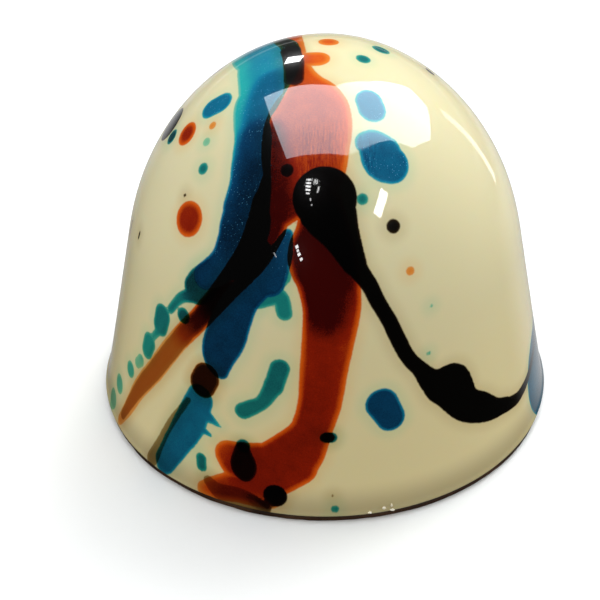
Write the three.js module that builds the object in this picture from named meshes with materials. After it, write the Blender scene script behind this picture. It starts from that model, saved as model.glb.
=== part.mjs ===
import * as THREE from 'three';

// A moulded bonbon standing on its flat side: a glossy ivory shell with a drafted wall and a
// domed crown, closed underneath by a thin layer of dark chocolate.
// Millimetres, +Z up, origin at the middle of the underside.

// Driving dimensions
const SHELL_RADIUS = 14;
const TOTAL_HEIGHT = 23.5;
const BASE_THICKNESS = 0.4;
const BASE_INSET = 0.15;
const BASE_EDGE_CHAMFER = 0.1;

// The wall leans in, as a mould needs, and rounds over into the crown.
const WALL_DRAFT = 0.301;
const CROWN_START = 0.479;
const CROWN_FULLNESS = 2.332;

// The mouth of the shell flares out a little where it was scraped level.
const LIP_FLARE = 0.1;
const LIP_HEIGHT = 0.45;

// Facets
const TURN_SEGMENTS = 80;
const PROFILE_STEPS = 40;

// Radius of the shell at a height above the underside.
function shellRadius(height) {
  const share = Math.min(height / TOTAL_HEIGHT, 1);
  const intoCrown = Math.max(share - CROWN_START, 0) / (1 - CROWN_START);
  const wall = SHELL_RADIUS * (1 - WALL_DRAFT * share);
  const lip = LIP_FLARE * Math.exp(-(height - BASE_THICKNESS) / LIP_HEIGHT);
  return (wall + lip) * Math.sqrt(Math.max(1 - intoCrown ** CROWN_FULLNESS, 0));
}

// Heights lie closer together at the lip and near the crown, where the radius changes fastest.
function shellHeights() {
  const heights = [];
  for (let step = 0; step < PROFILE_STEPS; step += 1) {
    const share = (1 - Math.cos((step / PROFILE_STEPS) * Math.PI)) / 2;
    heights.push(BASE_THICKNESS + (TOTAL_HEIGHT - BASE_THICKNESS) * share);
  }
  return heights;
}

// A lathe turns its profile about Y; the part stands along Z.
function turned(profile) {
  const geometry = new THREE.LatheGeometry(profile, TURN_SEGMENTS);
  geometry.rotateX(Math.PI / 2);
  return geometry;
}

function shell() {
  const profile = [new THREE.Vector2(0, BASE_THICKNESS)];
  for (const height of shellHeights()) {
    profile.push(new THREE.Vector2(shellRadius(height), height));
  }
  profile.push(new THREE.Vector2(0, TOTAL_HEIGHT));
  const ivory = new THREE.MeshStandardMaterial({ color: 0xd2c79b, roughness: 0.12, metalness: 0 });
  const mesh = new THREE.Mesh(turned(profile), ivory);
  mesh.name = 'shell';
  return mesh;
}

function base() {
  const radius = SHELL_RADIUS - BASE_INSET;
  const profile = [
    new THREE.Vector2(0, 0),
    new THREE.Vector2(radius - BASE_EDGE_CHAMFER, 0),
    new THREE.Vector2(radius, BASE_EDGE_CHAMFER),
    new THREE.Vector2(radius, BASE_THICKNESS),
    new THREE.Vector2(0, BASE_THICKNESS),
  ];
  const darkChocolate = new THREE.MeshStandardMaterial({ color: 0x261405, roughness: 0.4, metalness: 0 });
  const mesh = new THREE.Mesh(turned(profile), darkChocolate);
  mesh.name = 'base';
  return mesh;
}

const bonbon = new THREE.Group();
bonbon.name = 'bonbon';
bonbon.add(base(), shell());

export default bonbon;
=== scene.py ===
"""A moulded chocolate bonbon: an ivory shell splashed with cocoa butter, over a dark closing layer."""

import math

import bpy
import numpy as np
from mathutils import Matrix, Vector


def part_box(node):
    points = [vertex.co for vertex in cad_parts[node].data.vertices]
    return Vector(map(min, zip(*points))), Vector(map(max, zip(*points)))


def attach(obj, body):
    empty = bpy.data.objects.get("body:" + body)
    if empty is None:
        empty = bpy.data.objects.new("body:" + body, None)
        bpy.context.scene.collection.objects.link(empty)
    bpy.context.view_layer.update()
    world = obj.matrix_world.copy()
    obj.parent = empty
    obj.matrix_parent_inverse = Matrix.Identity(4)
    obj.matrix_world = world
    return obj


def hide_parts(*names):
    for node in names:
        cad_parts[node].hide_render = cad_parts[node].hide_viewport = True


bl_info = {
    "name": "Moulded Bonbon",
    "version": (1, 0, 0),
    "blender": (4, 5, 0),
    "location": "3D View > Sidebar > Bonbon",
    "description": "Makes a splashed moulded bonbon and the stage it stands on",
    "category": "Object",
}

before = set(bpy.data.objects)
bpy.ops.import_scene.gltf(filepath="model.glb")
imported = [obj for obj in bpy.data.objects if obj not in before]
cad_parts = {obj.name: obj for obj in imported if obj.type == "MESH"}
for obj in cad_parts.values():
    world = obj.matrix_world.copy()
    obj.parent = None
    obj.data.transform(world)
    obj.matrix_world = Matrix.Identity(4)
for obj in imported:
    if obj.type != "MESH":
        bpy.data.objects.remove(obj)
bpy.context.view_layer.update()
MM = 0.001
BODY = "root"

SHELL_LOW, SHELL_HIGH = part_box("shell")
BASE_LOW, BASE_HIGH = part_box("base")
TOTAL_HEIGHT = SHELL_HIGH[2]
FOOT_HEIGHT = SHELL_LOW[2]

# One splash of cocoa butter is its pigment, how thick its film is, and then its path of (turn in
# degrees, drop in mm, half width in mm). Turn is counted round the bonbon from its front towards +X,
# and drop is the way down from the crown along the surface.
PIGMENTS = ("blue", "teal", "orange", "black")

# Each pigment over white, from its edge to its thickest film.
PIGMENT_COLOURS = {
    "blue": (
        (0.40, 0.86, 0.90), (0.03, 0.60, 0.92), (0.007, 0.28, 0.78),
        (0.0025, 0.075, 0.32), (0.0012, 0.018, 0.08),
    ),
    "teal": (
        (0.42, 0.85, 0.80), (0.09, 0.56, 0.66), (0.015, 0.36, 0.52),
        (0.006, 0.13, 0.26), (0.003, 0.04, 0.08),
    ),
    "orange": (
        (1.0, 0.62, 0.28), (0.95, 0.32, 0.06), (0.85, 0.13, 0.006),
        (0.35, 0.018, 0.0015), (0.055, 0.0008, 0.0003),
    ),
    "black": (
        (0.50, 0.38, 0.22), (0.15, 0.10, 0.05), (0.03, 0.018, 0.008),
        (0.006, 0.004, 0.003), (0.002, 0.002, 0.002),
    ),
}

RIVER = [
    ("blue", 0.12,
        (-150, 11, 1.2), (-140, 7, 1.6), (-122, 4.6, 1.9), (-107, 3.6, 1.95), (-90, 3.4, 1.93),
        (-71, 3.6, 1.85), (-55, 4.5, 1.52), (-50.3, 5.3, 1.45), (-45.2, 6.3, 1.12), (-38, 7.2, 1.15),
        (-33, 8.6, 1.22), (-30, 9.8, 1.28), (-29.5, 11.1, 1.3)),
    ("blue", 0.28,
        (-130, 5, 1.2), (-107, 3.1, 1.5), (-84, 3.0, 1.5), (-62, 3.3, 1.35), (-51, 4.5, 0.98),
        (-46, 5.4, 0.95), (-41, 6.2, 0.8)),
    ("blue", 0.5, (-56, 3.7, 0.75), (-47, 4.9, 0.75), (-41, 6.1, 0.68), (-35, 7.0, 0.75), (-31, 8.4, 0.85)),
    ("blue", 0.78,
        (-36, 7.1, 0.9), (-32, 8.5, 1.05), (-29.3, 9.8, 1.15), (-28.5, 11.2, 1.35), (-28, 12.2, 1.45),
        (-28, 13, 1.4), (-31, 14.4, 1.05), (-37, 15.6, 0.8)),
    ("blue", 0.92,
        (-30, 8.6, 0.75), (-27.5, 9.7, 0.95), (-26.7, 11.1, 1.15), (-26, 12, 1.3), (-27, 13, 1.3)),
    ("teal", 0.9, (-35, 15.3, 0.85), (-37.5, 16.1, 1.05), (-39, 16.5, 1.0)),
    ("blue", 0.8,
        (-27, 13, 1.3), (-22, 14, 1.4), (-19, 14.8, 0.95), (-24, 16.2, 1.05), (-28, 18.7, 1.3),
        (-30, 20.1, 1.1), (-29, 21.0, 0.6)),
    ("blue", 0.62, (-12, 12.0, 0.3), (-14, 13.3, 0.72), (-16.5, 14.7, 1.0)),
    ("teal", 0.3, (-17, 15.3, 0.7), (-12.5, 14.4, 0.5)),
    ("teal", 0.4, (-19.5, 15.8, 0.75), (-13, 15.6, 0.5), (-11.3, 16.5, 0.48)),
]

TRAIL = [
    ("teal", 0.4, (-40, 17.0, 0.5), (-44.5, 17.6, 0.34), (-48, 18.7, 0.3)),
    ("teal", 0.5, (-51.2, 19.5, 0.74), (-51.6, 20.2, 0.7)),
    ("teal", 0.7, (-42.7, 18.6, 0.52)),
    ("teal", 0.34, (-55.8, 21.9, 0.66), (-56.4, 22.5, 0.6)),
    ("teal", 0.06, (-52, 20.6, 0.3), (-54.5, 21.4, 0.25)),
    ("teal", 0.07, (-59, 23.6, 0.4), (-60.5, 24.0, 0.36)),
    ("teal", 0.16, (-64, 25.0, 0.56)),
    ("teal", 0.1, (-70.2, 27.1, 0.66)),
    ("teal", 0.05, (-73.5, 28.8, 0.7)),
]

LOWER_PATCH = [
    ("blue", 0.5, (-34.6, 23.4, 0.95), (-37, 25.2, 1.12), (-40.4, 26.9, 1.0), (-44.1, 28.8, 0.85)),
    ("blue", 0.25, (-33, 24.2, 0.5), (-27.8, 24.7, 0.1)),
    ("blue", 0.25, (-35, 25.2, 0.4), (-30.4, 25.5, 0.12)),
    ("blue", 0.25, (-37, 26.0, 0.45), (-34, 25.9, 0.14)),
    ("blue", 0.25, (-38.5, 26.8, 0.5), (-35.6, 26.7, 0.16)),
    ("black", 0.06, (-38.2, 23.8, 0.2), (-43, 25.8, 0.3), (-46, 27.5, 0.34), (-48.6, 29.2, 0.5)),
]

ORANGE_STREAM = [
    ("orange", 0.36,
        (165, 26, 0.8), (170, 20, 1.1), (178, 13, 1.0), (-165, 8, 0.9), (-150, 4.6, 0.9),
        (-122, 2.2, 0.7), (-65, 1.85, 0.75), (-33, 2.6, 0.95), (-18.5, 3.4, 1.3), (-10, 4.5, 2.0),
        (-10, 5.5, 2.45), (-10, 6.8, 2.5), (-9.2, 8.2, 2.3), (-11.5, 9.4, 1.6), (-16.5, 10.6, 1.2)),
    ("orange", 0.5, (-18, 3.8, 0.7), (-11, 4.8, 1.5), (-10, 5.5, 1.8)),
    ("orange", 0.3, (-66, 1.4, 0.72), (-33, 0.75, 0.72)),
    ("orange", 0.55, (-10, 7.6, 1.9), (-9, 8.6, 1.9), (-12.5, 9.6, 1.35)),
    ("orange", 0.95,
        (-30, 6.4, 0.4), (-23, 7.6, 0.5), (-21, 8.4, 0.6), (-19.5, 9.6, 0.9), (-19, 10.4, 1.1)),
    ("orange", 0.5,
        (-1, 10.4, 1.2), (-0.6, 11.9, 1.55), (-0.8, 13.2, 1.92), (1, 14.4, 1.8), (2, 16.1, 1.65),
        (0.9, 18.1, 1.5), (-0.3, 20.1, 1.37), (-1.3, 22.1, 1.27), (-3.2, 23.7, 1.22), (-5.6, 25.2, 1.36),
        (-7.6, 26.2, 1.36)),
    ("orange", 1.05,
        (0, 11.7, 1.4), (-0.5, 13.2, 1.72), (0.5, 14.6, 1.5), (0.5, 15.8, 1.25), (0.4, 16.8, 0.8)),
    ("orange", 0.68, (0.5, 16.1, 1.35), (0, 18.1, 1.15), (-1, 20.1, 1.0), (-1.5, 22.1, 0.9)),
    ("orange", 0.72,
        (-2, 21.6, 1.0), (-4, 23.7, 1.05), (-7, 25.0, 1.35), (-14, 26.5, 1.5), (-20, 26.9, 1.3)),
    ("orange", 0.45, (-14, 26.6, 1.65), (-21, 26.7, 1.4), (-24.5, 26.4, 1.0)),
    ("orange", 0.6, (-7.2, 26.3, 1.3), (-14, 27.5, 1.2), (-20, 28.3, 0.8), (-27, 28.9, 0.6)),
    ("orange", 0.12, (-14, 28.4, 1.0), (-22, 28.4, 1.0), (-27, 28.8, 0.8), (-31, 29.2, 0.5)),
    ("black", 0.04, (-15, 29.4, 0.5), (-21, 29.1, 0.7), (-27, 29.0, 0.5), (-30, 28.6, 0.35)),
]

ORANGE_ARM = [
    ("orange", 1.0,
        (-19, 10.6, 1.2), (-20, 12.0, 1.15), (-23, 13.7, 1.0), (-29, 15.7, 0.78), (-33, 17, 0.72)),
    ("orange", 0.7, (-33, 17, 0.72), (-37, 18.3, 0.7)),
    ("orange", 0.42, (-37, 18.3, 0.7), (-41, 19.5, 0.7)),
    ("orange", 0.1,
        (-39, 18.9, 0.7), (-41.5, 19.6, 0.7), (-46.5, 21.3, 0.72), (-52, 23.4, 0.72), (-58, 25.5, 0.66),
        (-62, 27.4, 0.54), (-66, 29.1, 0.36)),
    ("black", 0.3, (-29, 15.9, 0.6), (-34, 17.4, 0.6)),
    ("black", 0.14, (-34, 17.4, 0.6), (-38, 18.6, 0.55)),
    ("black", 0.05, (-38, 18.6, 0.6), (-42, 19.8, 0.5)),
    ("black", 0.003, (-41.5, 19.6, 0.6), (-52, 23.4, 0.6), (-58, 25.5, 0.52), (-65, 28.6, 0.3)),
]

BLACK_STREAM = [
    ("black", 0.36, (-112, 2.2, 0.58), (-70, 1.9, 0.6), (-36, 2.85, 0.5)),
    ("black", 1.2, (0, 9.9, 1.8)),
    ("black", 1.0, (1, 10.6, 1.6), (5, 11.9, 1.1), (9, 13.6, 0.7)),
    ("black", 1.1,
        (4.5, 11.7, 0.85), (9, 13.6, 0.6), (13, 14.9, 0.5), (15, 15.9, 0.47), (18, 17.2, 0.46),
        (20.5, 18.6, 0.48), (23, 19.8, 0.46), (26, 20.7, 0.5), (29, 21.7, 0.72)),
    ("black", 1.2,
        (28.5, 21.5, 0.62), (31.5, 22.2, 1.0), (35.5, 22.6, 1.4), (39.5, 24.2, 1.1), (45, 25.1, 0.98),
        (50, 25.8, 0.7), (55, 26.2, 0.5)),
    ("black", 0.6,
        (54, 26.2, 0.5), (61, 26.6, 0.4), (68, 26.4, 0.3), (75, 25.9, 0.22), (82, 25.5, 0.17),
        (92, 24.7, 0.18), (104, 23.4, 0.24), (116, 21.8, 0.3), (122, 21.2, 0.5)),
]

SPOTS = [
    ("blue", 0.4, (34.5, 4.6, 0.82), (33, 5.1, 0.85)),
    ("blue", 0.52, (23, 7.6, 0.8), (26, 8.2, 1.2), (28.8, 8.5, 1.15)),
    ("blue", 0.25, (21.5, 7.0, 0.7), (25.5, 7.1, 0.8), (29, 7.7, 0.95)),
    ("blue", 0.7, (15, 22.4, 1.0), (17.2, 23.4, 0.88)),
    ("teal", 0.45, (14, 10.1, 0.34)),
    ("teal", 0.5, (84, 2.25, 0.44)),
    ("teal", 0.5, (118.5, 3.85, 0.55)),
    ("blue", 0.5, (81, 27.7, 3.15), (89, 27.5, 3.2)),
    ("blue", 0.42, (-75.2, 7.4, 0.74), (-72.6, 6.7, 0.74)),
    ("teal", 0.8, (-84, 10.7, 0.5)),
    ("teal", 0.5, (-53, 10.1, 0.36)),
    ("teal", 0.55, (-32.6, 27.3, 0.38), (-32.3, 27.8, 0.38)),
    ("teal", 0.4, (2.5, 29.1, 0.25)),
    ("teal", 0.12, (31, 17.0, 0.12)),
    ("teal", 0.2, (29, 19.9, 0.15)),
    ("teal", 0.05, (-60, 8.8, 0.28)),
    ("teal", 0.56, (-12, 20.0, 0.6), (-13.5, 21.2, 0.62)),
    ("teal", 0.5, (-13.5, 21.2, 0.58), (-16.5, 22.4, 0.46), (-19, 22.8, 0.5), (-21.5, 23.2, 0.54)),
    ("teal", 0.9, (-21, 25.5, 0.45)),
    ("teal", 1.0, (0.3, 24.3, 0.36), (1.7, 24.3, 0.36)),
    ("orange", 0.62, (-49, 13.0, 1.05)),
    ("orange", 0.6, (-75, 9.5, 0.78)),
    ("orange", 0.16, (-64, 7.9, 0.26)),
    ("orange", 0.18, (26, 14.6, 0.27)),
    ("orange", 0.3, (172, 1.6, 0.6)),
    ("orange", 0.12, (-33.1, 21.8, 0.93), (-34, 22.3, 0.93)),
    ("black", 0.36, (-33.1, 21.8, 0.9), (-34, 22.3, 0.9)),
    ("black", 0.45, (-21.2, 25.8, 0.5), (-20.7, 26.8, 0.84), (-20.3, 27.3, 0.6)),
    ("black", 1.0, (-12.2, 28.45, 0.74)),
    ("black", 0.7, (23.2, 11.9, 0.42)),
    ("black", 0.5, (-16, 8.5, 0.38)),
    ("black", 0.9, (-95, 10.9, 1.15)),
    ("black", 0.5, (-83, 16.9, 0.11), (-83, 17.9, 0.11)),
    ("black", 0.5, (-72, 16.3, 0.1), (-72, 16.7, 0.1)),
    ("black", 0.4, (-55, 12.0, 0.12)),
    ("black", 0.6, (111, 7.3, 0.35)),
    ("black", 0.3, (1, 24.3, 0.36)),
    ("black", 0.1, (2, 28.2, 0.1)),
]

# Spatter on the far side: how many spots, where they may fall, how large they get and how strongly
# small ones prevail, and their thinnest film and how far it varies.
SPATTER_COUNT = 34
SPATTER_TURN = (112, 250)
SPATTER_DROP = (8, 28.5)
SPATTER_RADIUS = (0.12, 1.0)
SPATTER_SMALLNESS = 2.5
SPATTER_LOAD = (0.3, 0.6)
SPATTER_SEED = 7

# The overhead panel's corners as (right, back), in heights of the panel above the crown.
PANEL_OUTLINE = [
    (-0.72, 0.58), (-0.47, -0.42), (0.28, -0.42), (0.8, -0.06), (1.25, 0.08), (1.75, 0.6), (1.8, 1.6),
    (1.3, 1.6), (0.5, 0.75), (0.1, 0.43),
]

# Small lights that glint in the gloss: (turn, rise, width, height and lean in degrees, brightness).
GLINTS = [
    (-165.5, 32, 6.5, 7.5, -30, 30),
    (-16, 54, 2.6, 0.9, 4, 28),
    (-16, 52.4, 2.6, 0.9, 4, 28),
    (-16, 50.8, 2.8, 0.9, 4, 28),
    (-15.5, 49.2, 2.8, 0.9, 4, 26),
    (-15, 47.6, 2.2, 0.8, 4, 22),
    (-9, 53.5, 1.0, 2.6, 30, 26),
    (-6, 50, 0.8, 3.2, -14, 18),
    (-12, 45, 0.8, 1.2, 20, 14),
    (-10.5, 42.6, 0.7, 0.8, -15, 12),
    (-17.5, 23.4, 1.7, 1.4, 35, 26),
    (-16.6, 21.8, 1.3, 1.2, 35, 22),
    (-15.6, 20.2, 1.8, 1.4, 35, 26),
    (-14, 18.2, 1.6, 1.3, 35, 24),
    (-30, 17.5, 0.6, 2.6, 50, 8),
    (44, 37, 12.5, 4.6, 37, 30),
    (134, 1, 4, 26, 0, 2.5),
]

# How the films are stored on the shell: how far beside a splash its edge still counts, which colour
# belongs to which thickness, and how thickness evens out over a splash.
EDGE_ATTRIBUTE = "splash_edge"
FILM_ATTRIBUTE = "splash_film"
FIELD_REACH = 2.4 * MM
FILM_PARTS = {"edge": 0.0, "thin": 0.12, "middle": 0.32, "thick": 0.62, "deep": 0.95}
FILM_SMOOTHING = 26
FILM_SHARING = 0.6
FILM_OVERRUN_MM = 0.15
PATH_STEPS = 5

# Beside a splash's edge: how far in teal gives way to blue and how far out the painted tint of light
# scattered through the ivory reaches, in mm, and how thin the film is at the edge itself, as a share.
TEAL_FADE_MM = 0.35
PAINTED_SCATTER_REACH_MM = 0.9
EDGE_THINNESS = 0.38

# The mica flecks, painted lighter as glints where light catches them: how far apart they may lie, how many
# of those places have one, and the heights between which they appear.
MICA_GLINT_SPACING = 0.09 * MM
MICA_GLINT_SHARE = 0.2
MICA_GLINT_HEIGHTS = (0.6 * TOTAL_HEIGHT, 0.75 * TOTAL_HEIGHT)

# Shapes: how much closer the rings lie at the mouth, samples along the surface, faces round the base
# and waves of its edge to the metre, and the smallest distances that count.
RING_CROWDING = 1.2
ARC_SAMPLES = 4000
BASE_SEGMENTS = 360
BASE_WAVES = 500.0
WELD_DISTANCE = 1e-6
TINY = 1e-9

# Where the fine brushed marks fade in and out on the crown, across it and up it.
BRUSHED_ACROSS = (-2 * MM, -1 * MM, 2.4 * MM, 3.2 * MM)
BRUSHED_UP = (19 * MM, 20.3 * MM, 21.3 * MM, 22.6 * MM)

# How far a crumb strays from its row, how its three widths vary, and its roughness.
CRUMB_SHIFT = ((-0.3 * MM, -0.02 * MM, -0.15 * MM), (0.3 * MM, 0.02 * MM, 0.25 * MM))
CRUMB_SCALE = ((0.45, 0.4, 0.4), (1.1, 0.8, 0.9))
CRUMB_GRAIN = 0.12 * MM

# The stage: the side light's turn and rise in degrees, the lights' distances in metres, the height
# they aim at, and how bright the rest of the room is in the gloss.
KEY_TURN = 148
KEY_RISE = 43
KEY_DISTANCE = 0.4
KEY_SIZE = (0.25, 0.25)
GLINT_DISTANCE = 0.5
LIGHTS_AIM = 0.7 * TOTAL_HEIGHT
FLOOR_SIDES = 64
ROOM_LIGHT = 0.012
SENSOR_WIDTH_MM = 36
NEAREST_SEEN = 10 * MM


# ---- node trees


class Sock:
    """A value inside a node tree. Arithmetic on it adds Math nodes to the tree."""

    def __init__(self, tree, socket):
        self.tree = tree
        self.socket = socket

    def math(self, operation, *others):
        node = add(self.tree, "ShaderNodeMath", operation=operation)
        for slot, value in enumerate((self, *others)):
            feed(self.tree, value, node.inputs[slot])
        return Sock(self.tree, node.outputs[0])

    def __add__(self, other):
        return self.math("ADD", other)

    def __sub__(self, other):
        return self.math("SUBTRACT", other)

    def __mul__(self, other):
        return self.math("MULTIPLY", other)

    def ramp(self, low, high, start=0.0, end=1.0):
        """Runs smoothly from start to end as the value goes from low to high."""
        inputs = {"Value": self, "From Min": low, "From Max": high, "To Min": start, "To Max": end}
        node = add(self.tree, "ShaderNodeMapRange", inputs, interpolation_type="SMOOTHSTEP")
        return Sock(self.tree, node.outputs["Result"])

    def band(self, low, full, fading, high):
        """Rises from 0 at low to 1 at full, and falls from 1 at fading to 0 at high."""
        return self.ramp(low, full) * self.ramp(fading, high, 1, 0)


def feed(tree, value, socket):
    """Links a value to a socket, or sets the socket to a plain number, vector or colour."""
    if isinstance(value, Sock):
        value = value.socket
    if isinstance(value, bpy.types.NodeSocket):
        tree.links.new(value, socket)
    else:
        socket.default_value = value


def add(tree, kind, inputs=None, **settings):
    """Adds a node, with its settings and inputs."""
    node = tree.nodes.new(kind)
    for name, value in settings.items():
        setattr(node, name, value)
    feed_all(tree, inputs or {}, node)
    return node


def feed_all(tree, values, node):
    """Feeds a node's inputs by name."""
    for name, value in values.items():
        feed(tree, value, node.inputs[name])


def fresh_tree(owner, shader_kind, output_kind):
    """Gives a material or a world a node tree with nothing but a shader joined to its output."""
    owner.use_nodes = True
    tree = owner.node_tree
    tree.nodes.clear()
    shader = add(tree, shader_kind)
    output = add(tree, output_kind)
    tree.links.new(shader.outputs[0], output.inputs["Surface"])
    return tree, shader


def new_material(name, shader_kind="ShaderNodeBsdfPrincipled"):
    """A material with its node tree and its shader."""
    material = bpy.data.materials.new(name)
    return material, *fresh_tree(material, shader_kind, "ShaderNodeOutputMaterial")


def new_object(name, data):
    """A new object, linked to the scene."""
    made = bpy.data.objects.new(name, data)
    bpy.context.collection.objects.link(made)
    return made


def axes(tree, place):
    """The X, Y and Z parts of a place."""
    parts = add(tree, "ShaderNodeSeparateXYZ", {"Vector": place}).outputs
    return [Sock(tree, parts[axis]) for axis in "XYZ"]


def scaled(tree, vector, factor):
    """A vector made longer or shorter."""
    node = add(tree, "ShaderNodeVectorMath", {0: vector, "Scale": factor}, operation="SCALE")
    return node.outputs["Vector"]


def object_place(tree, scale=(1, 1, 1)):
    """The place on the piece, in metres, stretched by a scale for each axis."""
    place = add(tree, "ShaderNodeTexCoord").outputs["Object"]
    return add(tree, "ShaderNodeMapping", {"Vector": place, "Scale": scale}).outputs["Vector"]


def noise(tree, place, grain, detail=2.0, roughness=0.5):
    """Noise from 0 to 1 whose features are about as large as grain, in metres."""
    inputs = {"Vector": place, "Scale": 1 / grain, "Detail": detail, "Roughness": roughness}
    return Sock(tree, add(tree, "ShaderNodeTexNoise", inputs).outputs["Fac"])


def mix_colour(tree, share, first, second, blend="MIX"):
    """Blends two colours."""
    node = add(tree, "ShaderNodeMix", data_type="RGBA", blend_type=blend)
    feed(tree, share, node.inputs["Factor"])
    feed(tree, first, node.inputs["A"])
    feed(tree, second, node.inputs["B"])
    return node.outputs["Result"]


def colour_ramp(tree, value, stops):
    """Colours along a value, from (place, colour) stops."""
    node = add(tree, "ShaderNodeValToRGB", {"Fac": value})
    elements = node.color_ramp.elements
    while len(elements) < len(stops):
        elements.new(0.5)
    for element, (place, colour) in zip(elements, stops, strict=True):
        element.position = place
        element.color = rgba(colour)
    return node.outputs["Color"]


def rgba(colour):
    """A colour property as a colour with full alpha."""
    return (*tuple(colour)[:3], 1.0)


# ---- shapes


def shell_radius(height, sizes):
    """Radius of the shell at a height above the underside."""
    share = np.clip(height / TOTAL_HEIGHT, 0, 1)
    into_crown = np.clip(share - sizes.crown_start, 0, None) / (1 - sizes.crown_start)
    lip = sizes.lip_flare * np.exp(-(height - FOOT_HEIGHT) / sizes.lip_height)
    foot_share = FOOT_HEIGHT / TOTAL_HEIGHT
    wall_foot = (SHELL_HIGH[0] - sizes.lip_flare) / (1 - sizes.wall_draft * foot_share)
    wall = wall_foot * (1 - sizes.wall_draft * share) + lip
    return wall * np.sqrt(np.clip(1 - into_crown**sizes.crown_fullness, 0, None))


def shell_profile(sizes):
    """The shell's outline as (radius, height) points, from the middle of its mouth up to the crown."""
    share = np.linspace(0, 1, sizes.rings) ** RING_CROWDING
    height = FOOT_HEIGHT + (TOTAL_HEIGHT - FOOT_HEIGHT) * np.sin(share * math.pi / 2)
    radius = shell_radius(height, sizes)
    radius += sizes.bead * np.exp(-(((height - FOOT_HEIGHT - sizes.edge_round) / sizes.edge_round) ** 2))
    into_edge = np.clip(1 - (height - FOOT_HEIGHT) / sizes.edge_round, 0, 1)
    radius -= sizes.edge_round * (1 - np.sqrt(1 - into_edge**2))
    radius[-1] = 0
    outline = np.column_stack([radius, height])
    return np.vstack([[0, FOOT_HEIGHT], outline])


def base_profile(sizes):
    """The closing layer's outline: its underside, its rounded edge, and its top, which is hidden."""
    radius = BASE_HIGH[0] + sizes.base_spread
    top = BASE_HIGH[2]
    edge = sizes.base_round
    bend = np.linspace(0, math.pi / 2, 7)
    corner = np.column_stack([radius - edge + edge * np.sin(bend), edge - edge * np.cos(bend)])
    underside = np.linspace([0, 0], [radius - 2 * edge, 0], 24)
    hidden = np.linspace([radius - edge, top], [0, top], 8)
    return np.vstack([underside, corner, [[radius, top]], hidden])


def surface_arc(sizes):
    """Heights, radii and the way down from the crown along the surface, at even heights."""
    height = np.linspace(TOTAL_HEIGHT, FOOT_HEIGHT, ARC_SAMPLES)
    radius = shell_radius(height, sizes)
    steps = np.hypot(np.diff(height), np.diff(radius))
    return height, radius, np.concatenate([[0], np.cumsum(steps)])


def shape_tree(name, inputs):
    """A geometry node tree and its inputs, from their names and kinds."""
    tree = bpy.data.node_groups.new(name, "GeometryNodeTree")
    tree.is_modifier = True
    for label, kind in inputs.items():
        tree.interface.new_socket(label, in_out="INPUT", socket_type=f"NodeSocket{kind}")
    tree.interface.new_socket("Geometry", in_out="OUTPUT", socket_type="NodeSocketGeometry")
    return tree, add(tree, "NodeGroupInput").outputs


def turned_tree(name):
    """Geometry nodes that turn a profile curve about +Z into a closed skin."""
    inputs = {"Profile": "Geometry", "Segments": "Int", "Unevenness": "Float", "Grain": "Float"}
    tree, given = shape_tree(name, {**inputs, "Material": "Material"})
    size = add(tree, "GeometryNodeAttributeDomainSize", {"Geometry": given["Profile"]}, component="CURVE")
    rows = size.outputs["Point Count"]
    columns = Sock(tree, given["Segments"]) + 1
    grid_sizes = {"Size X": 1.0, "Size Y": 1.0, "Vertices X": columns, "Vertices Y": rows}
    grid = add(tree, "GeometryNodeMeshGrid", grid_sizes).outputs["Mesh"]
    position = add(tree, "GeometryNodeInputPosition").outputs["Position"]
    across, along, _ = axes(tree, position)
    turn = (across + 0.5) * math.tau
    row = ((along + 0.5) * (Sock(tree, rows) - 1)).math("ROUND")
    picked = {"Geometry": given["Profile"], "Value": position, "Index": row}
    point = add(tree, "GeometryNodeSampleIndex", picked, data_type="FLOAT_VECTOR", domain="POINT")
    radius, _, height = axes(tree, point.outputs["Value"])
    facing = {"X": turn.math("SINE"), "Y": turn.math("COSINE") * -1}
    unit = add(tree, "ShaderNodeCombineXYZ", facing).outputs["Vector"]
    grain = {"Vector": scaled(tree, unit, radius), "Scale": given["Grain"]}
    lumps = Sock(tree, add(tree, "ShaderNodeTexNoise", grain).outputs["Fac"])
    bulge = radius * ((lumps - 0.5) * given["Unevenness"]) + radius
    right, back, _ = axes(tree, scaled(tree, unit, bulge))
    final = add(tree, "ShaderNodeCombineXYZ", {"X": right, "Y": back, "Z": height}).outputs["Vector"]
    skin = add(tree, "GeometryNodeSetPosition", {"Geometry": grid, "Position": final}).outputs["Geometry"]
    welded = {"Geometry": skin, "Distance": WELD_DISTANCE}
    closed = add(tree, "GeometryNodeMergeByDistance", welded).outputs["Geometry"]
    smooth = add(tree, "GeometryNodeSetShadeSmooth", {"Geometry": closed}).outputs["Geometry"]
    return finish_tree(tree, given, smooth)


def finish_tree(tree, given, geometry):
    """Ends a tree in Realize Instances and Set Material."""
    real = add(tree, "GeometryNodeRealizeInstances", {"Geometry": geometry}).outputs["Geometry"]
    named = {"Geometry": real, "Material": given["Material"]}
    dressed = add(tree, "GeometryNodeSetMaterial", named).outputs["Geometry"]
    output = add(tree, "NodeGroupOutput")
    tree.links.new(dressed, output.inputs["Geometry"])
    return tree


def grow(name, source, tree, values):
    """Runs a node tree on source, and returns its result as a plain mesh object."""
    modifier = source.modifiers.new("Nodes", "NODES")
    modifier.node_group = tree
    for item in tree.interface.items_tree:
        if item.name in values:
            modifier[item.identifier] = values[item.name]
    bpy.context.view_layer.update()
    graph = bpy.context.evaluated_depsgraph_get()
    mesh = bpy.data.meshes.new_from_object(source.evaluated_get(graph), depsgraph=graph)
    bpy.data.objects.remove(source)
    mesh.name = name
    return new_object(name, mesh)


def profile_curve(points):
    """A straight-sided open curve object through (radius, height) points."""
    curve = bpy.data.curves.new("profile", "CURVE")
    curve.dimensions = "3D"
    line = curve.splines.new("POLY")
    line.points.add(len(points) - 1)
    for point, (radius, height) in zip(line.points, points, strict=True):
        point.co = (radius, 0, height, 1)
    return new_object("profile", curve)


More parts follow.
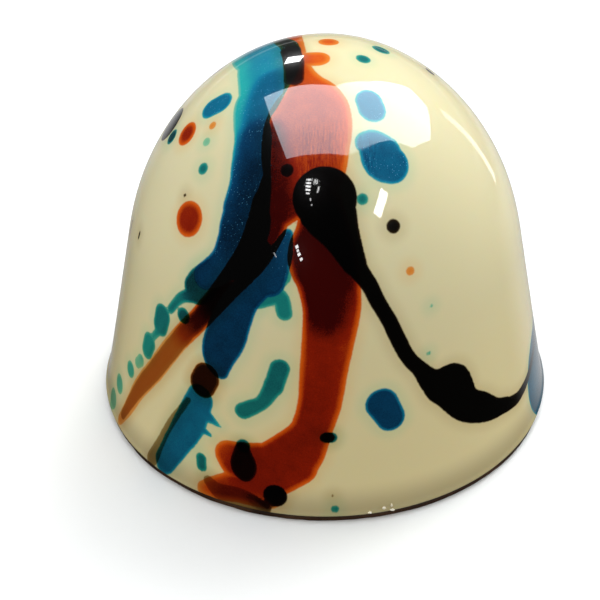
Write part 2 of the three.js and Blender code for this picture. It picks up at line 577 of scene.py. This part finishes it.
def face_outward(mesh):
    """Turns a closed skin's faces outward."""
    corners = vertex_places(mesh)
    mesh.calc_loop_triangles()
    index = np.empty(len(mesh.loop_triangles) * 3, dtype=np.int32)
    mesh.loop_triangles.foreach_get("vertices", index)
    a, b, c = corners[index.reshape(-1, 3)].transpose(1, 0, 2)
    if np.einsum("ij,ij->i", a, np.cross(b, c)).sum() < 0:
        mesh.flip_normals()


def vertex_places(mesh):
    """Every vertex's place."""
    places = np.empty(len(mesh.vertices) * 3)
    mesh.vertices.foreach_get("co", places)
    return places.reshape(-1, 3)


# ---- splashes


def far_side_spatter():
    """Spots for the far side, mostly small ones, in every pigment."""
    random = np.random.default_rng(SPATTER_SEED)
    small, large = SPATTER_RADIUS
    thinnest, spread = SPATTER_LOAD
    spots = []
    for _ in range(SPATTER_COUNT):
        turn = random.uniform(*SPATTER_TURN)
        drop = random.uniform(*SPATTER_DROP)
        radius = small + (large - small) * random.random() ** SPATTER_SMALLNESS
        pigment = PIGMENTS[random.integers(len(PIGMENTS))]
        load = thinnest + spread * random.random()
        spots.append((pigment, load, (turn, drop, radius)))
    return spots


def all_splashes():
    """Every splash on the shell."""
    streams = RIVER + TRAIL + LOWER_PATCH + ORANGE_STREAM + ORANGE_ARM + BLACK_STREAM
    return streams + SPOTS + far_side_spatter()


def splash_line(path, arc):
    """A splash's path as closely spaced points on the shell and its half widths, in metres."""
    height, radius, way = arc
    turn, drop, half = np.array(path, dtype=float).T
    turn = np.radians(turn)
    at_height = np.interp(drop * MM, way, height)
    at_radius = np.interp(drop * MM, way, radius)
    knots = np.column_stack([at_radius * np.sin(turn), -at_radius * np.cos(turn), at_height, half * MM])
    if len(knots) == 1:
        return np.vstack([knots, knots])
    ends = np.vstack([2 * knots[0] - knots[1], knots, 2 * knots[-1] - knots[-2]])
    line = []
    for p0, p1, p2, p3 in zip(ends, ends[1:], ends[2:], ends[3:]):
        for share in np.arange(PATH_STEPS) / PATH_STEPS:
            bend = 2 * p0 - 5 * p1 + 4 * p2 - p3
            twist = 3 * p1 - p0 - 3 * p2 + p3
            line.append(0.5 * (2 * p1 + (p2 - p0) * share + bend * share**2 + twist * share**3))
    return np.vstack([line, knots[-1:]])


def inset_from(places, line):
    """How far each place lies inside a splash's edge, in metres; outside it is negative."""
    inset = np.full(len(places), -FIELD_REACH)
    for start, end in zip(line, line[1:]):
        along = end[:3] - start[:3]
        squared_length = max(along @ along, TINY**2)
        share = np.clip((places - start[:3]) @ along / squared_length, 0, 1)
        gap = np.linalg.norm(places - start[:3] - share[:, None] * along, axis=1)
        inset = np.maximum(inset, start[3] + share * (end[3] - start[3]) - gap)
    return inset


def evened(mesh, film, covered):
    """Lets each film's thickness even out over its own splashes, as melted cocoa butter does."""
    ends = np.empty(len(mesh.edges) * 2, dtype=np.int32)
    mesh.edges.foreach_get("vertices", ends)
    ends = np.concatenate([ends.reshape(-1, 2), ends.reshape(-1, 2)[:, ::-1]])
    weight = covered.astype(float)
    for _ in range(FILM_SMOOTHING):
        amount = film * weight
        shared = np.bincount(ends[:, 0], amount[ends[:, 1]], len(film))
        share = np.bincount(ends[:, 0], weight[ends[:, 1]], len(film))
        around = shared / np.maximum(share, TINY)
        film = np.where(share > 0, (1 - FILM_SHARING) * film + FILM_SHARING * around, film)
    return film


def paint_splashes(mesh, sizes):
    """Stores how far each vertex lies inside each pigment's edge, in mm, and how thick its film is."""
    places = vertex_places(mesh)
    arc = surface_arc(sizes)
    edge = np.full((len(places), len(PIGMENTS)), -FIELD_REACH / MM)
    film = np.zeros_like(edge)
    for pigment, load, *path in all_splashes():
        line = splash_line(path, arc)
        reach = FIELD_REACH + line[:, 3].max()
        near = np.all(places > line[:, :3].min(axis=0) - reach, axis=1)
        near &= np.all(places < line[:, :3].max(axis=0) + reach, axis=1)
        inset = inset_from(places[near], line) / MM
        column = PIGMENTS.index(pigment)
        edge[near, column] = np.maximum(edge[near, column], inset)
        covering = np.where(inset > -FILM_OVERRUN_MM, load, 0)
        film[near, column] = np.maximum(film[near, column], covering)
    for column in range(len(PIGMENTS)):
        film[:, column] = evened(mesh, film[:, column], film[:, column] > 0)
    for name, values in ((EDGE_ATTRIBUTE, edge), (FILM_ATTRIBUTE, film)):
        attribute = mesh.attributes.new(name, "FLOAT_COLOR", "POINT")
        attribute.data.foreach_set("color", values.ravel())


# ---- materials


def pigment_stops(look, pigment):
    """A pigment's colours over white, from the thinnest film to the thickest."""
    return [(place, getattr(look, f"{pigment}_{part}")) for part, place in FILM_PARTS.items()]


def channels(tree, name):
    """The four parts of a colour attribute."""
    attribute = add(tree, "ShaderNodeAttribute", attribute_name=name).outputs
    parts = add(tree, "ShaderNodeSeparateColor", {"Color": attribute["Color"]}).outputs
    return [Sock(tree, part) for part in (parts["Red"], parts["Green"], parts["Blue"], attribute["Alpha"])]


def flecks(tree, place, spacing, share):
    """Tiny flecks, for mica and its painted glints: 1 on a fleck and 0 between them."""
    cells = add(tree, "ShaderNodeTexVoronoi", {"Vector": place, "Scale": 1 / spacing})
    pick = add(tree, "ShaderNodeSeparateColor", {"Color": cells.outputs["Color"]}).outputs["Red"]
    chosen = Sock(tree, pick).math("GREATER_THAN", 1 - share)
    return Sock(tree, cells.outputs["Distance"]).ramp(0.16, 0.3, 1, 0) * chosen


def bumped(tree, height, strength, distance):
    """The surface's normal, tilted as a relief of that height would tilt it."""
    relief = {"Height": height, "Strength": strength, "Distance": distance}
    return add(tree, "ShaderNodeBump", relief).outputs["Normal"]


def ivory_colour(tree, place, look):
    """Ivory that is darker and warmer towards the foot, and darker still just above the foot, partly where
    the dark layer shows through it and partly as painted shade.
    """
    _, _, height = axes(tree, place)
    cloud = (noise(tree, place, 7 * MM, 2) - 0.5) * 0.3
    lowness = height.ramp(0.1 * TOTAL_HEIGHT, 0.85 * TOTAL_HEIGHT, 1, 0) + cloud
    colour = mix_colour(tree, lowness, rgba(look.ivory), rgba(look.ivory_low))
    # Darker just above the foot: partly the dark layer showing through the thin shell, partly painted shade
    # where the lower wall meets the floor.
    show_through_and_shade = height.ramp(FOOT_HEIGHT + 0.15 * MM, FOOT_HEIGHT + 2.2 * MM, look.foot_show_through_and_shade, 0)
    return mix_colour(tree, show_through_and_shade, colour, rgba(look.dark_light))


def brushed(tree, place):
    """Fine marks down the front of the crown, from -1 to 1, and 0 elsewhere."""
    across, _, height = axes(tree, place)
    stretched = add(tree, "ShaderNodeMapping", {"Vector": place, "Scale": (7, 1, 1)}).outputs["Vector"]
    marks = (noise(tree, stretched, 0.8 * MM, 3, 0.7) - 0.5) * 2
    return marks * height.band(*BRUSHED_UP) * across.band(*BRUSHED_ACROSS)


def laid_films(tree, place, marks, look, colour):
    """Lays the films over a colour. Gives the colour, and how far and how thickly each film covers it."""
    wobble = (noise(tree, place, 0.8 * MM, 3) - 0.5) * 0.07 + (noise(tree, place, 0.2 * MM, 2) - 0.5) * 0.03
    mottle = (noise(tree, place, 0.9 * MM, 4, 0.6) - 0.5) * 0.3 + (marks * look.brush_marks + 1)
    grain = (noise(tree, place, 0.07 * MM, 2) - 0.5) * look.grain
    softness = look.edge_softness / MM
    films = zip(PIGMENTS, channels(tree, EDGE_ATTRIBUTE), channels(tree, FILM_ATTRIBUTE), strict=True)
    cover, depth = {}, {}
    for pigment, edge, film in films:
        inset = edge + wobble
        cover[pigment] = inset.ramp(-softness, softness)
        if pigment == "blue":
            beside_blue = inset.ramp(0, TEAL_FADE_MM, 1, 0)
        if pigment == "teal":
            cover[pigment] = cover[pigment] * beside_blue
        feather = (look.rust_feather if pigment == "orange" else look.edge_feather) / MM
        depth[pigment] = film * (mottle + grain) * inset.ramp(0, feather, EDGE_THINNESS, 1)
        tint = colour_ramp(tree, depth[pigment], pigment_stops(look, pigment))
        # Painted light: the ivory beside a splash is tinted with the splash's colour, as if light scattered
        # through the shell from under the film.
        painted_scatter_tint = inset.ramp(-PAINTED_SCATTER_REACH_MM, 0.1, 0, look.painted_scatter_tint)
        scatter_tinted = mix_colour(tree, painted_scatter_tint, colour, rgba(getattr(look, f"{pigment}_edge")), "MULTIPLY")
        filmed = mix_colour(tree, 1.0, scatter_tinted, tint, "MULTIPLY")
        colour = mix_colour(tree, cover[pigment], scatter_tinted, filmed)
    return colour, cover, depth


def crossed_films(tree, place, look, colour, cover, depth):
    """Darkens a colour where blue and orange cross, and scatters mica flecks over the clear blue high up,
    painted light as glints.
    """
    crossing = (depth["blue"] * depth["orange"]) * (cover["blue"] * cover["orange"])
    colour = mix_colour(tree, crossing.ramp(0.01, 0.1, 0, look.overlap), colour, rgba(look.black_deep))
    patches = noise(tree, place, 1.6 * MM, 2).ramp(0.32, 0.55)
    speck = flecks(tree, place, MICA_GLINT_SPACING, MICA_GLINT_SHARE) * patches
    clear = ((cover["black"] * -1) + 1) * ((crossing.ramp(0.04, 0.2) * -1) + 1)
    _, _, height = axes(tree, place)
    # Flecks painted light blue in a band high up: partly the mica itself, partly painted glints where light
    # catches it.
    mica_glint = speck * cover["blue"] * clear * height.ramp(*MICA_GLINT_HEIGHTS) * look.mica_glint
    return mix_colour(tree, mica_glint, colour, rgba(look.mica_glint_colour))


def shell_material(look):
    """Ivory chocolate with flush films of coloured cocoa butter under a mirror gloss."""
    material, tree, shader = new_material("splashed_ivory")
    place = object_place(tree)
    marks = brushed(tree, place)
    ivory = ivory_colour(tree, place, look)
    colour, cover, depth = laid_films(tree, place, marks, look, ivory)
    covered = cover[PIGMENTS[0]]
    for pigment in PIGMENTS[1:]:
        covered = covered.math("MAXIMUM", cover[pigment])
    ripple = noise(tree, place, 5 * MM, 1) + covered * 0.1 + marks * 0.12
    normal = bumped(tree, ripple, 0.5, 0.02 * MM)
    values = {
        "Base Color": crossed_films(tree, place, look, colour, cover, depth),
        "Roughness": covered.ramp(0, 1, 0.36, 0.24),
        "Subsurface Weight": covered.ramp(0, 1, look.translucency, 0.0),
        "Subsurface Radius": (1.0, 0.6, 0.3),
        "Subsurface Scale": 1.2 * MM,
        "Specular IOR Level": 0.04,
        "Normal": normal,
        "Coat Weight": 1.0,
        "Coat Roughness": 0.02,
        "Coat IOR": 1.46,
        "Coat Normal": normal,
    }
    feed_all(tree, values, shader)
    return material


def base_material(look):
    """Dark chocolate, scraped level."""
    material, tree, shader = new_material("dark_chocolate")
    place = object_place(tree)
    tone = noise(tree, place, 1.6 * MM, 4, 0.6)
    colour = mix_colour(tree, tone.ramp(0.3, 0.7), rgba(look.dark), rgba(look.dark_light))
    scrape = noise(tree, object_place(tree, (1, 12, 1)), 1.2 * MM, 5, 0.6)
    values = {
        "Base Color": colour,
        "Roughness": scrape.ramp(0.3, 0.7, 0.42, 0.6),
        "Specular IOR Level": 0.3,
        "Normal": bumped(tree, scrape, 0.6, 0.03 * MM),
    }
    feed_all(tree, values, shader)
    return material


def crumb_material(look):
    """Pale, slightly glassy chips of the ivory chocolate."""
    material, tree, shader = new_material("ivory_crumbs")
    place = object_place(tree)
    tone = noise(tree, place, 0.1 * MM, 3, 0.6)
    colour = mix_colour(tree, tone.ramp(0.3, 0.7), rgba(look.ivory_low), rgba(look.crumb))
    roughness = tone.ramp(0.3, 0.7, 0.2, 0.4)
    normal = bumped(tree, tone, 0.5, 0.03 * MM)
    feed_all(tree, {"Base Color": colour, "Roughness": roughness, "Normal": normal}, shader)
    return material


def floor_material(stage):
    """A plain pale floor."""
    material, tree, shader = new_material("pale_floor")
    tone = noise(tree, object_place(tree), 40 * MM, 2)
    darker = [part * 0.99 for part in stage.floor_colour]
    colour = mix_colour(tree, tone, rgba(stage.floor_colour), rgba(darker))
    feed_all(tree, {"Base Color": colour, "Roughness": 0.6}, shader)
    return material


# ---- settings


def colour_setting(name, words, default):
    return bpy.props.FloatVectorProperty(
        name=name, description=words, subtype="COLOR", size=3, min=0, max=1, default=default
    )


def length_setting(name, words, default):
    return bpy.props.FloatProperty(
        name=name, description=words, unit="LENGTH", subtype="DISTANCE", precision=5, min=0, default=default
    )


def angle_setting(name, words, default):
    return bpy.props.FloatProperty(
        name=name, description=words, unit="ROTATION", subtype="ANGLE", default=default
    )


def number_setting(name, words, default):
    return bpy.props.FloatProperty(name=name, description=words, default=default)


def count_setting(name, words, default):
    return bpy.props.IntProperty(name=name, description=words, default=default)


class BonbonShape(bpy.types.PropertyGroup):
    """Sizes of the shell and the closing layer."""

    wall_draft: number_setting("Wall Draft", "Share of its radius that the wall loses", 0.301)
    crown_start: number_setting("Crown Start", "Share of the height where rounding starts", 0.479)
    crown_fullness: number_setting("Crown Fullness", "How square the crown's rounding is", 2.332)
    lip_flare: length_setting("Lip Flare", "How far the mouth of the shell flares out", 0.1 * MM)
    lip_height: length_setting("Lip Height", "How far up the flare reaches", 0.45 * MM)
    edge_round: length_setting("Edge Round", "Rounding of the mouth's edge", 0.12 * MM)
    bead: length_setting("Bead", "How far the mouth's edge stands out", 0.05 * MM)
    rings: count_setting("Rings", "Rows of faces up the shell", 252)
    segments: count_setting("Segments", "Faces round each row", 380)
    base_round: length_setting("Base Round", "Rounding of the closing layer's edge", 0.1 * MM)
    base_spread: length_setting("Base Spread", "How far the closing layer has spread", 0.08 * MM)
    base_unevenness: number_setting("Base Unevenness", "How uneven its edge is, as a share", 0.012)


class BonbonCrumbs(bpy.types.PropertyGroup):
    """Pale crumbs that cling to the foot."""

    crumb_count: count_setting("Crumbs", "How many crumbs there are", 5)
    crumb_size: length_setting("Crumb Size", "Radius of a crumb", 0.13 * MM)
    crumb_start: angle_setting("Crumb Start", "Where round the foot the crumbs begin", math.radians(10.3))
    crumb_spread: angle_setting("Crumb Spread", "How far round the foot the crumbs reach", math.radians(7))
    crumb_rise: length_setting("Crumb Rise", "How far above the dark layer the crumbs sit", 0.25 * MM)
    crumb_seed: count_setting("Crumb Seed", "Picks another set of crumbs", 4)


class BonbonLook(bpy.types.PropertyGroup):
    """Colours of the chocolate and the cocoa butter."""

    ivory: colour_setting("Ivory", "The shell's chocolate towards the crown", (0.82, 0.76, 0.47))
    ivory_low: colour_setting("Ivory, Low", "The shell's chocolate towards the foot", (0.80, 0.69, 0.37))
    # Partly the colour of the mica, partly painted glints where light catches it.
    mica_glint_colour: colour_setting("Mica", "Flecks of mica in the blue", (0.14, 0.5, 0.8))
    mica_glint: number_setting("Mica Amount", "How bright the flecks are", 0.7)
    edge_softness: length_setting("Edge Softness", "How soft a splash's edge is", 0.05 * MM)
    edge_feather: length_setting("Edge Feather", "How far in a film reaches its full thickness", 0.25 * MM)
    rust_feather: length_setting("Rust Feather", "The same for the orange film, which is runnier", 0.45 * MM)
    brush_marks: number_setting("Brush Marks", "How strongly fine marks show in the films", 0.6)
    grain: number_setting("Grain", "How grainy the films are", 0.4)
    overlap: number_setting("Overlap", "How black blue and orange turn where one lies over the other", 0.9)
    # Partly the dark layer showing through the thin shell near the foot, partly painted shade there.
    foot_show_through_and_shade: number_setting("Foot Shade", "How much the dark layer shows through the ivory", 0.42)
    # Painted light scattered through the ivory beside a splash, given as a tint of the splash's colour.
    painted_scatter_tint: number_setting("Bleed", "How much of its colour a splash lends to the ivory beside it", 0.25)
    translucency: number_setting("Translucency", "How much light passes through the ivory", 0.3)
    crumb: colour_setting("Crumb", "Pale parts of the crumbs", (0.95, 0.93, 0.88))
    dark: colour_setting("Dark Chocolate", "The closing layer", (0.03, 0.011, 0.003))
    dark_light: colour_setting("Dark Chocolate, Light", "Its lighter parts", (0.075, 0.032, 0.011))


for pigment_name, pigment_colours in PIGMENT_COLOURS.items():
    for film_part, film_colour in zip(FILM_PARTS, pigment_colours, strict=True):
        BonbonLook.__annotations__[f"{pigment_name}_{film_part}"] = colour_setting(
            f"{pigment_name.title()}, {film_part.title()}", f"Colour of the {pigment_name} film", film_colour
        )


class BonbonStage(bpy.types.PropertyGroup):
    """The floor, the lights and the camera."""

    camera_rise: angle_setting("Camera Rise", "Angle of the camera above the floor", math.radians(38.17))
    camera_roll: angle_setting("Camera Roll", "Turn of the camera about its view", -0.0092)
    camera_distance: length_setting("Camera Distance", "From the underside to the camera", 0.126)
    camera_lens: bpy.props.FloatProperty(
        name="Lens", description="Focal length", unit="CAMERA", default=117.06
    )
    camera_aim: bpy.props.FloatVectorProperty(
        name="Aim", description="Point the camera looks at", subtype="TRANSLATION", unit="LENGTH",
        default=(-1.55 * MM, 0, 5.95 * MM)
    )
    floor_size: length_setting("Floor Size", "Half the width of the floor", 1.2)
    floor_colour: colour_setting("Floor Colour", "Colour of the floor", (0.93, 0.93, 0.92))
    panel_height: length_setting("Panel Height", "Height of the soft panel above the floor", 0.3)
    panel_light: number_setting("Panel Light", "Brightness of the panel", 9.0)
    panel_colour: colour_setting("Panel Colour", "Colour of the panel", (0.78, 0.93, 1.0))
    key_light: number_setting("Key Light", "Brightness of the side light", 4.8)
    front_light: number_setting("Front Light", "Soft light from the front", 0.67)
    back_light: number_setting("Back Light", "Soft light from behind", 1.15)
    bounce: number_setting("Bounce", "Share of the soft light that also comes from below", 0.66)
    horizon_light: number_setting("Horizon Light", "Brightness of the horizon behind in the gloss", 0.5)


# ---- operators


class BONBON_OT_shell(bpy.types.Operator):
    """Make the ivory shell and paint its splashes"""

    bl_idname = "bonbon.shell"
    bl_label = "Make Shell"

    def execute(self, context):
        sizes = context.scene.bonbon_shape
        material = shell_material(context.scene.bonbon_look)
        values = {"Segments": sizes.segments, "Unevenness": 0.0, "Grain": 1.0, "Material": material}
        outline = profile_curve(shell_profile(sizes))
        shell = grow("ivory_shell", outline, turned_tree("Turned Shell"), values)
        face_outward(shell.data)
        paint_splashes(shell.data, sizes)
        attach(shell, BODY)
        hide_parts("shell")
        return {"FINISHED"}


class BONBON_OT_base(bpy.types.Operator):
    """Make the dark chocolate layer that closes the shell"""

    bl_idname = "bonbon.base"
    bl_label = "Make Base"

    def execute(self, context):
        sizes = context.scene.bonbon_shape
        values = {
            "Segments": BASE_SEGMENTS,
            "Unevenness": sizes.base_unevenness,
            "Grain": BASE_WAVES,
            "Material": base_material(context.scene.bonbon_look),
        }
        outline = profile_curve(base_profile(sizes))
        base = grow("dark_base", outline, turned_tree("Turned Base"), values)
        face_outward(base.data)
        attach(base, BODY)
        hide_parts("base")
        return {"FINISHED"}


def random_vector(tree, seed, limits):
    """A random vector for each point, between two limits."""
    inputs = {"Seed": seed, "Min": limits[0], "Max": limits[1]}
    return add(tree, "FunctionNodeRandomValue", inputs, data_type="FLOAT_VECTOR").outputs["Value"]


def crumb_tree():
    """Geometry nodes that set small rough lumps along a short arc of the foot."""
    lengths = dict.fromkeys(("Size", "Start", "Spread", "Foot Radius", "Foot Height"), "Float")
    tree, given = shape_tree("Crumbs", {"Count": "Int", "Seed": "Int", **lengths, "Material": "Material"})
    start = Sock(tree, given["Start"]) - math.pi / 2
    bow = {"Radius": given["Foot Radius"], "Start Angle": start, "Sweep Angle": given["Spread"]}
    arc = add(tree, "GeometryNodeCurveArc", {"Resolution": 64, **bow}).outputs["Curve"]
    counted = {"Curve": arc, "Count": given["Count"]}
    row = add(tree, "GeometryNodeResampleCurve", counted).outputs["Curve"]
    shift = random_vector(tree, given["Seed"], CRUMB_SHIFT)
    lifted = add(tree, "ShaderNodeCombineXYZ", {"Z": given["Foot Height"]}).outputs["Vector"]
    moved = add(tree, "ShaderNodeVectorMath", {0: shift, 1: lifted}, operation="ADD")
    spots = add(tree, "GeometryNodeSetPosition", {"Geometry": row, "Offset": moved.outputs["Vector"]})
    ball = {"Radius": given["Size"], "Subdivisions": 4}
    lump = add(tree, "GeometryNodeMeshIcoSphere", ball).outputs["Mesh"]
    grown = random_vector(tree, given["Seed"], CRUMB_SCALE)
    placed = {"Points": spots.outputs["Geometry"], "Instance": lump, "Scale": grown}
    lumps = add(tree, "GeometryNodeInstanceOnPoints", placed).outputs["Instances"]
    joined = add(tree, "GeometryNodeRealizeInstances", {"Geometry": lumps}).outputs["Geometry"]
    rough = add(tree, "ShaderNodeTexNoise", {"Scale": 1 / CRUMB_GRAIN, "Detail": 2.0})
    rise = (Sock(tree, rough.outputs["Fac"]) - 0.5) * given["Size"]
    normal = add(tree, "GeometryNodeInputNormal").outputs["Normal"]
    pushed = {"Geometry": joined, "Offset": scaled(tree, normal, rise)}
    lumpy = add(tree, "GeometryNodeSetPosition", pushed)
    smooth = add(tree, "GeometryNodeSetShadeSmooth", {"Geometry": lumpy.outputs["Geometry"]})
    return finish_tree(tree, given, smooth.outputs["Geometry"])


class BONBON_OT_crumbs(bpy.types.Operator):
    """Make the crumbs that cling to the foot"""

    bl_idname = "bonbon.crumbs"
    bl_label = "Make Crumbs"

    def execute(self, context):
        crumbs = context.scene.bonbon_crumbs
        names = ("count", "seed", "size", "start", "spread")
        values = {name.title(): getattr(crumbs, f"crumb_{name}") for name in names}
        values["Foot Radius"] = SHELL_HIGH[0]
        values["Foot Height"] = FOOT_HEIGHT + crumbs.crumb_rise
        values["Material"] = crumb_material(context.scene.bonbon_look)
        holder = new_object("crumbs", bpy.data.meshes.new("crumbs"))
        piece = grow("foot_crumbs", holder, crumb_tree(), values)
        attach(piece, BODY)
        return {"FINISHED"}


class BONBON_OT_stage(bpy.types.Operator):
    """Make the floor, the soft lights and the camera"""

    bl_idname = "bonbon.stage"
    bl_label = "Make Stage"

    def execute(self, context):
        stage = context.scene.bonbon_stage
        make_floor(stage)
        make_world(context.scene, stage)
        make_lights(stage)
        make_camera(context.scene, stage)
        return {"FINISHED"}


def make_floor(stage):
    """A round pale floor."""
    mesh = bpy.data.meshes.new("floor")
    corners = [
        (stage.floor_size * math.cos(turn), stage.floor_size * math.sin(turn), 0)
        for turn in np.linspace(0, math.tau, FLOOR_SIDES, endpoint=False)
    ]
    mesh.from_pydata(corners, [], [range(FLOOR_SIDES)])
    mesh.materials.append(floor_material(stage))
    floor = new_object("floor", mesh)
    floor.visible_glossy = False
    floor.visible_diffuse = False


def make_world(scene, stage):
    """Soft light that is dim towards the front and from below, and the dark room that the gloss mirrors."""
    world = bpy.data.worlds.new("studio")
    tree, light = fresh_tree(world, "ShaderNodeBackground", "ShaderNodeOutputWorld")
    way = add(tree, "ShaderNodeTexCoord").outputs["Generated"]
    right, behind, rise = axes(tree, way)
    above = rise.ramp(-0.15, 0.1, stage.bounce, 1)
    soft = behind.ramp(-0.95, 0.3, stage.front_light, stage.back_light) * above
    horizon = rise.band(-0.04, 0.0, 0.0, 0.035)
    low_light = rise.ramp(-0.3, -0.15, 1, 0.1).math("MAXIMUM", horizon) * stage.horizon_light
    mirrored = low_light * (behind + right * 0.25).ramp(0.55, 0.85) + ROOM_LIGHT
    mirror_share = Sock(tree, add(tree, "ShaderNodeLightPath").outputs["Is Glossy Ray"])
    strength = soft + (mirrored - soft) * mirror_share
    feed_all(tree, {"Color": (1, 1, 1, 1), "Strength": strength}, light)
    scene.world = world


def soft_light(name, turn, rise, distance, size, radiance, shown_in, lean=0):
    """A rectangular light facing the bonbon, as bright as its radiance in a mirror."""
    turn, rise = math.radians(turn), math.radians(rise)
    way = Vector((math.cos(rise) * math.sin(turn), -math.cos(rise) * math.cos(turn), math.sin(rise)))
    data = bpy.data.lights.new(name, "AREA")
    data.shape = "RECTANGLE"
    data.size, data.size_y = size
    data.energy = radiance * math.pi * size[0] * size[1]
    light = new_object(name, data)
    place = Vector((0, 0, LIGHTS_AIM)) + way * distance
    facing = way.to_track_quat("Z", "Y").to_matrix().to_4x4()
    light.matrix_world = Matrix.Translation(place) @ facing @ Matrix.Rotation(math.radians(lean), 4, "Z")
    light.visible_camera = False
    light.visible_diffuse = shown_in != "gloss"
    light.visible_glossy = shown_in != "soft"


def make_panel(stage):
    """The bright panel overhead, which the gloss mirrors on the crown."""
    height = stage.panel_height
    mesh = bpy.data.meshes.new("panel")
    corners = [(x * height, y * height, height + TOTAL_HEIGHT) for x, y in PANEL_OUTLINE]
    mesh.from_pydata(corners, [], [range(len(corners))])
    material, tree, glow = new_material("panel_light", "ShaderNodeEmission")
    _, back, _ = axes(tree, add(tree, "ShaderNodeTexCoord").outputs["Object"])
    strength = back.ramp(-0.42 * height, 0.1 * height, 0.72, 1) * stage.panel_light
    feed_all(tree, {"Color": rgba(stage.panel_colour), "Strength": strength}, glow)
    mesh.materials.append(material)
    panel = new_object("panel", mesh)
    panel.visible_camera = False
    panel.visible_diffuse = False
    panel.visible_shadow = False


def make_lights(stage):
    """The soft light from the upper right, and small lights that glint in the gloss."""
    make_panel(stage)
    soft_light("key", KEY_TURN, KEY_RISE, KEY_DISTANCE, KEY_SIZE, stage.key_light, "soft")
    for number, (turn, rise, width, height, lean, radiance) in enumerate(GLINTS):
        size = [GLINT_DISTANCE * math.radians(width), GLINT_DISTANCE * math.radians(height)]
        soft_light(f"glint_{number}", turn, rise, GLINT_DISTANCE, size, radiance, "gloss", lean)


def make_camera(scene, stage):
    """The camera, looking down at the bonbon."""
    data = bpy.data.cameras.new("camera")
    data.lens = stage.camera_lens
    data.sensor_width = SENSOR_WIDTH_MM
    data.clip_start = NEAREST_SEEN
    rise = stage.camera_rise
    eye = Vector((0, -math.cos(rise), math.sin(rise))) * stage.camera_distance
    camera = new_object("camera", data)
    look = (eye - Vector(stage.camera_aim)).to_track_quat("Z", "Y").to_matrix().to_4x4()
    camera.matrix_world = Matrix.Translation(eye) @ look @ Matrix.Rotation(stage.camera_roll, 4, "Z")
    scene.camera = camera
    scene.view_settings.view_transform = "Standard"


class BONBON_PT_sidebar(bpy.types.Panel):
    """Sizes and colours of the bonbon, and a button for each piece"""

    bl_idname = "BONBON_PT_sidebar"
    bl_label = "Moulded Bonbon"
    bl_space_type = "VIEW_3D"
    bl_region_type = "UI"
    bl_category = "Bonbon"

    def draw(self, context):
        for group in SETTINGS:
            box = self.layout.box()
            settings = getattr(context.scene, group)
            for name in type(settings).__annotations__:
                box.prop(settings, name)
        for operator in OPERATORS:
            self.layout.operator(operator.bl_idname)


OPERATORS = (BONBON_OT_shell, BONBON_OT_base, BONBON_OT_crumbs, BONBON_OT_stage)
SETTINGS = {
    "bonbon_shape": BonbonShape,
    "bonbon_crumbs": BonbonCrumbs,
    "bonbon_look": BonbonLook,
    "bonbon_stage": BonbonStage,
}


def register():
    for made in (*SETTINGS.values(), *OPERATORS, BONBON_PT_sidebar):
        bpy.utils.register_class(made)
    for name, group in SETTINGS.items():
        setattr(bpy.types.Scene, name, bpy.props.PointerProperty(type=group))


def unregister():
    for name in SETTINGS:
        delattr(bpy.types.Scene, name)
    for made in (BONBON_PT_sidebar, *reversed(OPERATORS), *reversed(SETTINGS.values())):
        bpy.utils.unregister_class(made)


def main():
    register()
    bpy.ops.bonbon.shell()
    bpy.ops.bonbon.base()
    bpy.ops.bonbon.crumbs()
    bpy.ops.bonbon.stage()


if __name__ == "__main__":
    main()
